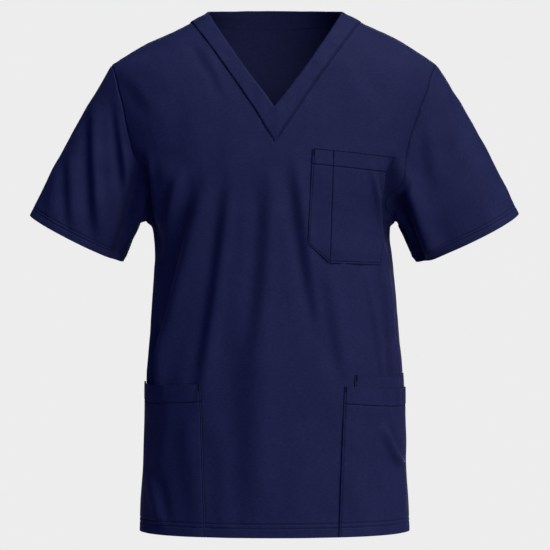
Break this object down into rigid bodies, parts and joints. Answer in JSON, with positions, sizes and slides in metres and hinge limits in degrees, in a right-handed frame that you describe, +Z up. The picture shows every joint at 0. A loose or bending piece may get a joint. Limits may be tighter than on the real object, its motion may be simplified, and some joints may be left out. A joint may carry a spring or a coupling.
{
  "type": "medical scrub top",
  "caption": "Short-sleeved V-neck scrub top with a lapped neckband, a chest pocket with a pen slot, side pockets set into the hem and open side vents, kept in its worn shape.",
  "frame": {"origin": "midway between the two neck points of the shoulder seams, at their height, where the wearer's shoulders carry the garment", "axes": "+Z up along the body, the longest way; front towards -Y, the shortest way; the wearer's left is +X"},
  "size_m": [0.6964, 0.2528, 0.7452],
  "materials": {
    "navy_cloth": "matt plain poly-cotton weave, dark navy blue"
  },
  "bodies": {
    "root": {"front": "navy_cloth", "back": "navy_cloth", "sleeve_right": "navy_cloth", "sleeve_left": "navy_cloth", "neckband_right": "navy_cloth", "neckband_left": "navy_cloth", "neckband_back": "navy_cloth", "chest_pocket": "navy_cloth", "pocket_right": "navy_cloth", "pocket_left": "navy_cloth", "pocket_left_inner": "navy_cloth"}
  },
  "joints": []
}
